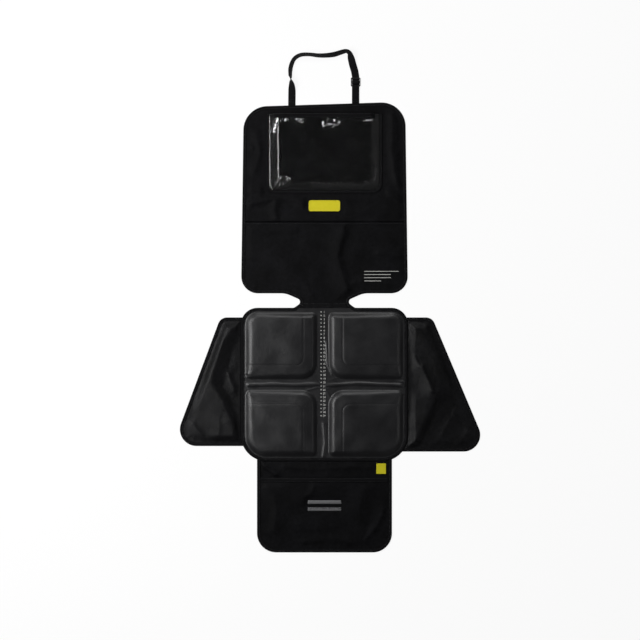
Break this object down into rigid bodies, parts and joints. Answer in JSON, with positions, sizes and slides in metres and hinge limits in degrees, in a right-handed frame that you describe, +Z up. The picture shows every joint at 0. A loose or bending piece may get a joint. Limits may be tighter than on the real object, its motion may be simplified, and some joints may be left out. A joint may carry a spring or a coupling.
{
  "type": "car seat protector",
  "caption": "Flat black seat mat with moulded cushions, side wings and a leg flap, joined by a neck to a back panel with a clear tablet pocket and a headrest strap.",
  "frame": {"origin": "middle of the footprint, on the surface that the protector lies on", "axes": "+Z up out of the face, +Y along the length from the leg flap to the headrest strap, +X to the right of someone looking down at the face"},
  "size_m": [0.8282, 1.3632, 0.0204],
  "materials": {
    "face_cloth": "tight plain-woven coated polyester, matt",
    "wing_cloth": "tight plain-woven coated polyester with a faint sheen",
    "lining": "matt non-woven",
    "edge_tape": "ribbed folded binding tape",
    "moulded_skin": "fine grained artificial leather, semi-matt",
    "grip_rubber": "dotted anti-slip mesh",
    "clear_film": "clear glossy soft vinyl",
    "webbing": "ribbed polypropylene webbing",
    "black_plastic": "moulded acetal",
    "yellow_rubber": "matt soft moulding",
    "yellow_ribbon": "woven ribbon",
    "reflective_tape": "silver-grey reflective transfer"
  },
  "bodies": {
    "root": {"back_panel": "lining", "badge_patch": "yellow_rubber", "edge_binding": "edge_tape", "flap_pocket": "face_cloth", "flap_pocket_hem": "edge_tape", "grip_backing": "grip_rubber", "headrest_strap": "webbing", "kick_panel": "face_cloth", "left_wing": "wing_cloth", "left_wing_binding": "edge_tape", "leg_flap": "face_cloth", "leg_flap_binding": "edge_tape", "lower_reflective_bar": "reflective_tape", "neck_seam_tape": "edge_tape", "organiser_panel": "face_cloth", "pocket_edge_tape": "edge_tape", "pocket_mouth_hem": "edge_tape", "right_wing": "wing_cloth", "right_wing_binding": "edge_tape", "seat_pad": "moulded_skin", "side_tag": "yellow_ribbon", "slider_buckle": "black_plastic", "slider_loop": "webbing", "tablet_pocket_film": "clear_film", "upper_reflective_bar": "reflective_tape"}
  },
  "joints": []
}
